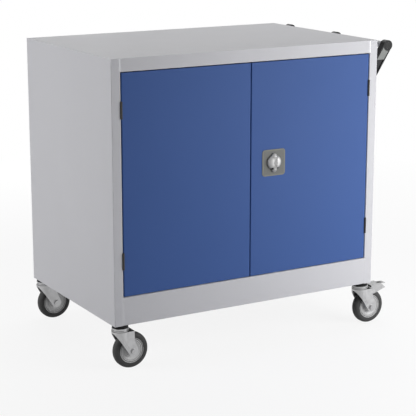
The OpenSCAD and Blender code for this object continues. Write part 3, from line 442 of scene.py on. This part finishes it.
class CupboardFinish(bpy.types.PropertyGroup):
    """Colours of the painted, plated and moulded pieces."""

    body_grey: FloatVectorProperty(
        name="Body paint", description="Light grey of the steel body and the handle tube",
        subtype="COLOR", min=0, max=1, default=seen_as(196, 196, 200),
    )
    door_blue: FloatVectorProperty(
        name="Door paint", description="Blue of the two doors",
        subtype="COLOR", min=0, max=1, default=seen_as(65, 92, 149),
    )
    chassis_grey: FloatVectorProperty(
        name="Chassis paint", description="Grey of the channels under the cupboard",
        subtype="COLOR", min=0, max=1, default=seen_as(120, 120, 122),
    )
    zinc: FloatVectorProperty(
        name="Zinc", description="Bright zinc of the caster forks, pedals and bolts",
        subtype="COLOR", min=0, max=1, default=seen_as(176, 176, 177),
    )
    hinge: FloatVectorProperty(
        name="Hinges", description="Dark plating of the hinges",
        subtype="COLOR", min=0, max=1, default=seen_as(62, 60, 57),
    )
    lock_plate: FloatVectorProperty(
        name="Lock plate", description="Satin grey of the square lock plate",
        subtype="COLOR", min=0, max=1, default=seen_as(106, 107, 105),
    )
    chrome: FloatVectorProperty(
        name="Chrome", description="Chrome of the knob and the key plug",
        subtype="COLOR", min=0, max=1, default=seen_as(163, 163, 163),
    )
    bracket_black: FloatVectorProperty(
        name="Brackets", description="Black of the handle brackets and the caster spacers",
        subtype="COLOR", min=0, max=1, default=seen_as(31, 31, 32),
    )
    cap_grey: FloatVectorProperty(
        name="Tube caps", description="Dark grey of the caps in the tube's ends",
        subtype="COLOR", min=0, max=1, default=seen_as(52, 52, 52),
    )
    inlay_grey: FloatVectorProperty(
        name="Inlays", description="Pale grey of the inlays in the brackets",
        subtype="COLOR", min=0, max=1, default=seen_as(131, 133, 131),
    )
    hub_grey: FloatVectorProperty(
        name="Hubs", description="Silver grey nylon of the wheel discs",
        subtype="COLOR", min=0, max=1, default=seen_as(190, 190, 190),
    )
    tyre_grey: FloatVectorProperty(
        name="Tyres", description="Dark grey rubber of the tyres and door bumpers",
        subtype="COLOR", min=0, max=1, default=seen_as(64, 64, 64),
    )


class CupboardKnob(bpy.types.PropertyGroup):
    """Shape of the turning knob."""

    dome: FloatProperty(
        name="Dome", description="How far the face falls evenly from the key plug to the ends of the lobes",
        subtype="DISTANCE", unit="LENGTH", min=0.0, max=0.002, default=0.0008,
    )
    shoulder: FloatProperty(
        name="Shoulder", description="How much further the face curves down towards the ends of the lobes",
        subtype="DISTANCE", unit="LENGTH", min=0.0, max=0.0105, default=0.0104,
    )
    groove_depth: FloatProperty(
        name="Grooves", description="Depth of the grooves between the four lobes",
        subtype="DISTANCE", unit="LENGTH", min=0.0, max=0.004, default=0.0036,
    )
    slot_depth: FloatProperty(
        name="Finger slot", description="Depth of the upright slot across the face, over and under the key plug",
        subtype="DISTANCE", unit="LENGTH", min=0.0, max=0.003, default=0.0015,
    )


class CupboardStage(bpy.types.PropertyGroup):
    """Camera, lights and floor."""

    azimuth: FloatProperty(
        name="Azimuth", description="Turn of the camera round the cupboard, from straight in front",
        subtype="ANGLE", unit="ROTATION", default=math.radians(-30.04),
    )
    elevation: FloatProperty(
        name="Elevation", description="How far the camera looks down",
        subtype="ANGLE", unit="ROTATION", default=math.radians(13.44),
    )
    distance: FloatProperty(
        name="Distance", description="From the camera to the point it is aimed at",
        subtype="DISTANCE", unit="LENGTH", min=1, default=4.841,
    )
    aim: FloatVectorProperty(
        name="Aim", description="Point that the camera is aimed at",
        subtype="TRANSLATION", unit="LENGTH", default=(-0.0135, -0.002, 0.410),
    )
    lens: FloatProperty(
        name="Lens", description="Focal length of the camera in millimetres", min=10, default=119.97,
    )
    ambient: FloatProperty(
        name="Ambient", description="Level of the light that comes from all round", min=0, default=0.09,
    )
    key_power: FloatProperty(
        name="Key light", description="Power of the soft light beside the right front corner",
        subtype="POWER", unit="POWER", min=0, default=36,
    )
    top_power: FloatProperty(
        name="Top light", description="Power of the soft light above and behind",
        subtype="POWER", unit="POWER", min=0, default=33,
    )
    side_power: FloatProperty(
        name="Side light", description="Power of the soft light on the left",
        subtype="POWER", unit="POWER", min=0, default=51,
    )
    right_power: FloatProperty(
        name="Right light", description="Power of the soft light on the right",
        subtype="POWER", unit="POWER", min=0, default=24,
    )
    back_power: FloatProperty(
        name="Back light", description="Power of the soft light behind the cupboard",
        subtype="POWER", unit="POWER", min=0, default=16,
    )
    floor_shade: FloatProperty(
        name="Shadow", description="How strongly the floor shows the cupboard's shadow",
        subtype="FACTOR", min=0, max=1, default=0.14,
    )


class CUPBOARD_OT_paint_body(bpy.types.Operator):
    """Powder coats the folded body, the shelves and the chassis"""

    bl_idname = "cupboard.paint_body"
    bl_label = "Paint the body"

    def execute(self, context):
        colours = context.scene.cupboard_finish
        body = powder_coat("body_paint", colours.body_grey)
        finish(("side_left", "side_right", "top_panel", "back_panel", "plinth"), body)
        finish(("base_tray", "shelf_lower", "shelf_upper", "shelf_strips", "handle_tube"), body)
        finish(("chassis_channels",), powder_coat("chassis_paint", colours.chassis_grey, 0.5))
        finish(("shelf_clips",), zinc_plate("clip_zinc", colours.zinc))
        return {"FINISHED"}


class CUPBOARD_OT_dress_welds(bpy.types.Operator):
    """Fills the joints between the stiles and the two rails with welds that are ground flush"""

    bl_idname = "cupboard.dress_welds"
    bl_label = "Dress the welds"

    # Thickness of the sheet and outer radius of its folds
    sheet = 0.0012
    fold = 0.0026
    # How far a weld runs over its two neighbours, stands proud of them and stays off the stile's fold
    overlap = 0.0004
    proud = 0.00003
    relief = 0.0002
    arc_steps = 6

    def execute(self, context):
        low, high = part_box("plinth")
        door_low, door_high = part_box("door_left")
        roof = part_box("top_panel")[1].z
        gap = door_low.x - low.x
        rails = (
            ("plinth", low.z + self.fold / 2, door_low.z - gap - self.fold / 2),
            ("top", door_high.z + gap + self.fold / 2, roof - self.sheet),
        )
        for side, edge, inward in (("left", low.x, 1), ("right", high.x, -1)):
            for rail, bottom, top in rails:
                self.fill(side + "_" + rail + "_weld", edge, inward, low.y, bottom, top)
        return {"FINISHED"}

    def fill(self, name, edge, inward, front, bottom, top):
        """One dressed weld: flat in front, round behind where it lies on the stile's fold."""
        start, end = -self.fold - self.overlap, self.overlap
        profile = [(start, -self.proud), (end, -self.proud), (end, self.fold)]
        reach = self.fold - self.relief
        for step in range(self.arc_steps + 1):
            turn = step / self.arc_steps * math.pi / 2
            profile.append((-self.fold + reach * math.cos(turn), self.fold - reach * math.sin(turn)))
        if inward < 0:
            profile.reverse()
        count = len(profile)
        points = [(edge + inward * x, front + y, z) for z in (bottom, top) for x, y in profile]
        faces = [(n, (n + 1) % count, count + (n + 1) % count, count + n) for n in range(count)]
        faces += [tuple(range(count)), tuple(range(2 * count - 1, count - 1, -1))]
        new_piece(name, points, faces, bpy.data.materials["body_paint"], "cabinet", smooth=False)


class CUPBOARD_OT_paint_doors(bpy.types.Operator):
    """Powder coats both doors and finishes their hinges and bumpers"""

    bl_idname = "cupboard.paint_doors"
    bl_label = "Paint the doors"

    def execute(self, context):
        colours = context.scene.cupboard_finish
        doors = ("door_left", "door_right", "door_left_stiffener", "door_right_stiffener")
        finish(doors, powder_coat("door_paint", colours.door_blue, roughness=0.46, sheen=0.08))
        leaves = ("frame_hinge_leaves", "door_left_hinge_leaves", "door_right_hinge_leaves")
        finish(leaves, dark_plate("hinge_plating", colours.hinge))
        finish(("hinge_pins",), zinc_plate("pin_zinc", colours.zinc))
        bumpers = ("door_left_bumpers", "door_right_bumpers")
        finish(bumpers, moulded("bumper_rubber", colours.tyre_grey, roughness=0.7))
        return {"FINISHED"}


class CUPBOARD_OT_finish_lock(bpy.types.Operator):
    """Finishes the lock plate, the key plug and the works behind them"""

    bl_idname = "cupboard.finish_lock"
    bl_label = "Finish the lock"

    # How bright the shaded plug and the dull works are beside the knob's chrome and the casters' zinc
    plug_share = 0.35
    works_share = 0.6

    def execute(self, context):
        colours = context.scene.cupboard_finish
        low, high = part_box("lock_plate")
        middle, half = tuple((low + high) / 2), (high.x - low.x) / 2
        finish(("lock_plate",), brushed_plate("lock_plate_satin", colours.lock_plate, middle, half))
        finish(("key_plug",), chrome("plug_chrome", scaled(colours.chrome, self.plug_share), roughness=0.3))
        dull = scaled(colours.zinc, self.works_share)
        works = ("lock_case", "rod_guides", "lock_spindle", "lock_pinion", "lock_cam", "cam_keeper")
        finish(works, zinc_plate("lock_zinc", dull, roughness=0.46))
        rods = ("upper_rod", "lower_rod")
        finish(rods, zinc_plate("rod_zinc", dull, roughness=0.44, along=(1.0, 1.0, 0.05)))
        return {"FINISHED"}


class CUPBOARD_OT_shape_knob(bpy.types.Operator):
    """Shapes the chrome knob with its four rounded lobes"""

    bl_idname = "cupboard.shape_knob"
    bl_label = "Shape the knob"

    # Points round the knob, and rings from the key plug to its edge
    around = 144
    face_rings = 20
    # Lobe sizes as shares of the knob's width and height, and how far the broad ones sit over the middle
    broad_share = 0.475
    broad_lift = 0.0016
    narrow_share = 0.16
    # Difference of reach at which a groove ends, and how much the outline draws in there
    valley_width = 0.011
    valley_pinch = 0.04
    # Half the width and half the height of the finger slot, and the length over which it runs out
    slot_half = 0.0052
    slot_reach = 0.0215
    slot_end = 0.004
    # Places of the two spots of painted shade, as shares of half the width and half the height
    spot_across = 0.42
    spot_below = 0.58
    crown_power = 2.6
    edge_fade = 6
    broken_edge = 0.0006
    plug_gap = 0.0002

    @staticmethod
    def reach_of(angle, lobes):
        """How far round lobes, each given by its centre and size, reach in one direction."""
        across, upright = math.cos(angle), math.sin(angle)
        reaches = [0.0]
        for x, z, size in lobes:
            inside = size ** 2 - (x * upright - z * across) ** 2
            if inside > 0:
                reaches.append(x * across + z * upright + math.sqrt(inside))
        return max(reaches)

    def outline(self, angle, half_w, half_h):
        """Reach of the four lobes in one direction, and how near that is to a valley."""
        broad, narrow = 2 * half_w * self.broad_share, 2 * half_h * self.narrow_share
        beside = self.reach_of(angle, [(side * (half_w - broad), self.broad_lift, broad) for side in (-1, 1)])
        upright = self.reach_of(angle, [(0.0, side * (half_h - narrow), narrow) for side in (-1, 1)])
        return max(beside, upright), max(0.0, 1 - abs(beside - upright) / self.valley_width)

    def slot(self, x, z):
        """1 in the upright finger slot, 0 beside it."""
        side = max(0.0, 1 - (abs(x) / self.slot_half) ** 4)
        end = max(0.0, min(1.0, (self.slot_reach - abs(z)) / self.slot_end))
        return side * end

    def rings(self, shape, face_y, back_y, plug_back_y):
        """Rings from the key plug's bore over the face to the back: share of the reach, Y, and how grooved."""
        rings = [(0.0, plug_back_y, 0.0), (0.0, face_y + self.broken_edge, 0.0), (0.02, face_y, 0.0)]
        for step in range(1, self.face_rings + 1):
            share = math.sin(step / self.face_rings * math.pi / 2)
            crown = 1 - math.sqrt(1 - min(1.0, share) ** self.crown_power)
            fall = shape.dome * share ** 2 + shape.shoulder * crown
            rings.append((share, face_y + fall, min(1.0, self.edge_fade * (1 - share))))
        rings.append((1.0, back_y - self.broken_edge, 0.0))
        return rings + [(share, back_y, 0.0) for share in (0.98, 0.5, 0.0)]

    def execute(self, context):
        shape = context.scene.cupboard_knob
        low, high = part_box("lock_knob")
        plug_low, plug_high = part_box("key_plug")
        centre = (low + high) / 2
        half_w, half_h = (high.x - low.x) / 2, (high.z - low.z) / 2
        bore = (plug_high.x - plug_low.x) / 2 + self.plug_gap
        rings = self.rings(shape, low.y, high.y, plug_high.y)
        points = []
        for share, y, grooved in rings:
            for step in range(self.around):
                angle = 2 * math.pi * step / self.around
                reach, valley = self.outline(angle, half_w, half_h)
                out = bore + (reach * (1 - self.valley_pinch * valley) - bore) * share
                x, z = out * math.cos(angle), out * math.sin(angle)
                fall = valley * share ** 2 * shape.groove_depth + self.slot(x, z) * shape.slot_depth
                points.append((centre.x + x, y + grooved * fall, centre.z + z))
        faces = []
        for ring in range(len(rings)):
            here, there = ring * self.around, (ring + 1) % len(rings) * self.around
            for step in range(self.around):
                following = (step + 1) % self.around
                faces.append((here + step, there + step, there + following, here + following))
        slot = (self.slot_half, self.slot_reach)
        spot = (half_w * self.spot_across, half_h * self.spot_below)
        material = knob_chrome("knob_chrome", context.scene.cupboard_finish.chrome, tuple(centre), slot, spot)
        new_piece("knob_star", points, faces, material, "knob", replaced=("lock_knob",))
        return {"FINISHED"}


class CUPBOARD_OT_finish_handle(bpy.types.Operator):
    """Finishes the handle's brackets, inlays, tube caps and bolts"""

    bl_idname = "cupboard.finish_handle"
    bl_label = "Finish the handle"

    def execute(self, context):
        colours = context.scene.cupboard_finish
        brackets = ["handle_bracket_" + place for place in ("front", "middle", "rear")]
        finish(brackets, moulded("bracket_nylon", colours.bracket_black, roughness=0.42))
        finish(("handle_inlays",), moulded("inlay_nylon", colours.inlay_grey, roughness=0.55))
        finish(("handle_end_caps",), moulded("cap_plastic", colours.cap_grey))
        finish(("handle_bolts",), zinc_plate("bolt_zinc", colours.zinc))
        return {"FINISHED"}


class CUPBOARD_OT_finish_casters(bpy.types.Operator):
    """Finishes the four casters, each about its own axle"""

    bl_idname = "cupboard.finish_casters"
    bl_label = "Finish the casters"

    # Middle of a pedal's pad from its tip, half its length and half its width, and how bright its zinc is
    pad_inset = 0.0205
    pad_half = (0.0105, 0.0088)
    pedal_share = 0.8

    def execute(self, context):
        colours = context.scene.cupboard_finish
        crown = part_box("fork_front_left")[1].z
        finish(["fork_" + corner for corner in CORNERS], zinc_with_shaded_crown("fork_zinc", colours.zinc, crown))
        finish(("caster_races",), zinc_plate("caster_zinc", colours.zinc))
        for pedal in ("brake_pedal_front", "brake_pedal_rear"):
            low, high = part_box(pedal)
            pad = (high.x - self.pad_inset, (low.y + high.y) / 2, 0.0)
            zinc = padded_zinc(pedal + "_zinc", scaled(colours.zinc, self.pedal_share), pad, self.pad_half)
            finish((pedal,), zinc)
        finish(["axle_" + corner for corner in CORNERS], zinc_plate("axle_zinc", colours.zinc, roughness=0.3))
        finish(("caster_kingbolts",), zinc_plate("kingbolt_zinc", colours.zinc, roughness=0.3))
        finish(("caster_spacers",), moulded("spacer_nylon", colours.bracket_black))
        for corner in CORNERS:
            axle = tuple(JOINTS["spin_" + corner]["pos_m"])
            low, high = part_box("tyre_" + corner)
            hub_low, hub_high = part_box("hub_" + corner)
            hub = hub_nylon("hub_nylon_" + corner, colours.hub_grey, axle, (hub_high.z - hub_low.z) / 2)
            tyre = tyre_rubber("tyre_rubber_" + corner, colours.tyre_grey, axle, (high.z - low.z) / 2)
            finish(("hub_" + corner,), hub)
            finish(("tyre_" + corner,), tyre)
        return {"FINISHED"}


class CUPBOARD_OT_build_stage(bpy.types.Operator):
    """Lays the pale floor and sets the soft lights and the camera"""

    bl_idname = "cupboard.build_stage"
    bl_label = "Build the stage"

    # Each light's name, place, aim and width in metres, and the setting of its power
    lights = (
        ("key_light", (1.3, -1.6, 0.78), (0.2, -0.33, 0.57), 1.5, "key_power"),
        ("top_light", (0.9, 1.5, 3.0), (0.0, 0.2, 0.9), 2.0, "top_power"),
        ("side_light", (-3.2, 0.3, 1.3), (-0.5, 0.0, 0.5), 2.2, "side_power"),
        ("right_light", (3.2, 0.7, 1.5), (0.5, 0.0, 0.5), 1.8, "right_power"),
        ("back_light", (0.5, 3.0, 0.62), (0.0, 0.3, 0.5), 1.1, "back_power"),
    )
    # The floor is a disc, and its shadow fades out between two distances from its middle
    floor_radius = 9.0
    floor_sides = 128
    floor_grey = (0.82, 0.82, 0.83, 1.0)
    fade_from = 1.3
    fade_to = 3.1
    sensor_width = 36

    def execute(self, context):
        stage = context.scene.cupboard_stage
        context.scene.view_settings.view_transform = "Standard"
        self.lay_floor(context, stage)
        self.fill_sky(context, stage)
        for name, place, aim, size, power in self.lights:
            self.hang_light(context, name, place, aim, size, getattr(stage, power))
        self.set_camera(context, stage)
        return {"FINISHED"}

    @staticmethod
    def seen_rays(tree):
        """1 for rays that the eye follows, straight on or by a reflection or through glass."""
        rays = tree.outputs_of(tree.node("ShaderNodeLightPath"))
        return rays["Is Camera Ray"].or_more(rays["Is Glossy Ray"]).or_more(rays["Is Transmission Ray"])

    def lay_floor(self, context, stage):
        turns = [2 * math.pi * step / self.floor_sides for step in range(self.floor_sides)]
        points = [(0.0, 0.0, 0.0)]
        points += [(self.floor_radius * math.cos(turn), self.floor_radius * math.sin(turn), 0.0) for turn in turns]
        faces = [(0, step + 1, (step + 1) % self.floor_sides + 1) for step in range(self.floor_sides)]
        mesh = bpy.data.meshes.new("floor")
        mesh.from_pydata(points, [], faces)
        tree = Tree(bpy.data.materials.new("pale_floor"))
        away = tree.length(tree.place(stretch=(1.0, 1.0, 0.0)))
        plain = away.ramp(self.fade_from, self.fade_to, 1 - stage.floor_shade, 1.0)
        matt = tree.node("ShaderNodeBsdfDiffuse", None, {"Color": self.floor_grey})
        white = tree.node("ShaderNodeEmission", None, {"Color": grey(1.0), "Strength": 1.0})
        share = self.seen_rays(tree) * plain
        mesh.materials.append(tree.surface(tree.node("ShaderNodeMixShader", None, {0: share, 1: matt, 2: white})))
        floor = bpy.data.objects.new("floor", mesh)
        context.scene.collection.objects.link(floor)

    def fill_sky(self, context, stage):
        world = bpy.data.worlds.new("studio")
        context.scene.world = world
        tree = Tree(world)
        dim = tree.node("ShaderNodeBackground", None, {"Color": grey(1.0), "Strength": stage.ambient})
        white = tree.node("ShaderNodeBackground", None, {"Color": grey(1.0), "Strength": 1.0})
        both = tree.node("ShaderNodeMixShader", None, {0: self.seen_rays(tree), 1: dim, 2: white})
        tree.node("ShaderNodeOutputWorld", None, {"Surface": both})

    @staticmethod
    def hang_light(context, name, place, aim, size, power):
        lamp = bpy.data.lights.new(name, "AREA")
        lamp.shape = "SQUARE"
        lamp.size = size
        lamp.energy = power
        light = bpy.data.objects.new(name, lamp)
        light.location = place
        light.rotation_euler = (Vector(aim) - Vector(place)).to_track_quat("-Z", "Y").to_euler()
        light.visible_camera = False
        context.scene.collection.objects.link(light)

    def set_camera(self, context, stage):
        level = math.cos(stage.elevation)
        back = Vector((
            math.sin(stage.azimuth) * level, -math.cos(stage.azimuth) * level, math.sin(stage.elevation)
        ))
        view = bpy.data.cameras.new("camera")
        view.lens = stage.lens
        view.sensor_width = self.sensor_width
        camera = bpy.data.objects.new("camera", view)
        camera.location = Vector(stage.aim) + back * stage.distance
        camera.rotation_euler = (-back).to_track_quat("-Z", "Y").to_euler()
        context.scene.collection.objects.link(camera)
        context.scene.camera = camera


OPERATORS = (
    CUPBOARD_OT_paint_body,
    CUPBOARD_OT_dress_welds,
    CUPBOARD_OT_paint_doors,
    CUPBOARD_OT_finish_lock,
    CUPBOARD_OT_shape_knob,
    CUPBOARD_OT_finish_handle,
    CUPBOARD_OT_finish_casters,
    CUPBOARD_OT_build_stage,
)


class CUPBOARD_PT_sidebar(bpy.types.Panel):
    """Lists the steps that dress the cupboard"""

    bl_idname = "CUPBOARD_PT_sidebar"
    bl_label = "Cupboard"
    bl_space_type = "VIEW_3D"
    bl_region_type = "UI"
    bl_category = "Cupboard"

    def draw(self, context):
        for operator in OPERATORS:
            self.layout.operator(operator.bl_idname)


SETTINGS = (CupboardFinish, CupboardKnob, CupboardStage)


def register():
    for item in SETTINGS + OPERATORS + (CUPBOARD_PT_sidebar,):
        bpy.utils.register_class(item)
    bpy.types.Scene.cupboard_finish = PointerProperty(type=CupboardFinish)
    bpy.types.Scene.cupboard_knob = PointerProperty(type=CupboardKnob)
    bpy.types.Scene.cupboard_stage = PointerProperty(type=CupboardStage)


def unregister():
    del bpy.types.Scene.cupboard_stage
    del bpy.types.Scene.cupboard_knob
    del bpy.types.Scene.cupboard_finish
    for item in reversed(SETTINGS + OPERATORS + (CUPBOARD_PT_sidebar,)):
        bpy.utils.unregister_class(item)


def main():
    register()
    bpy.ops.cupboard.paint_body()
    bpy.ops.cupboard.dress_welds()
    bpy.ops.cupboard.paint_doors()
    bpy.ops.cupboard.finish_lock()
    bpy.ops.cupboard.shape_knob()
    bpy.ops.cupboard.finish_handle()
    bpy.ops.cupboard.finish_casters()
    bpy.ops.cupboard.build_stage()


if __name__ == "__main__":
    main()
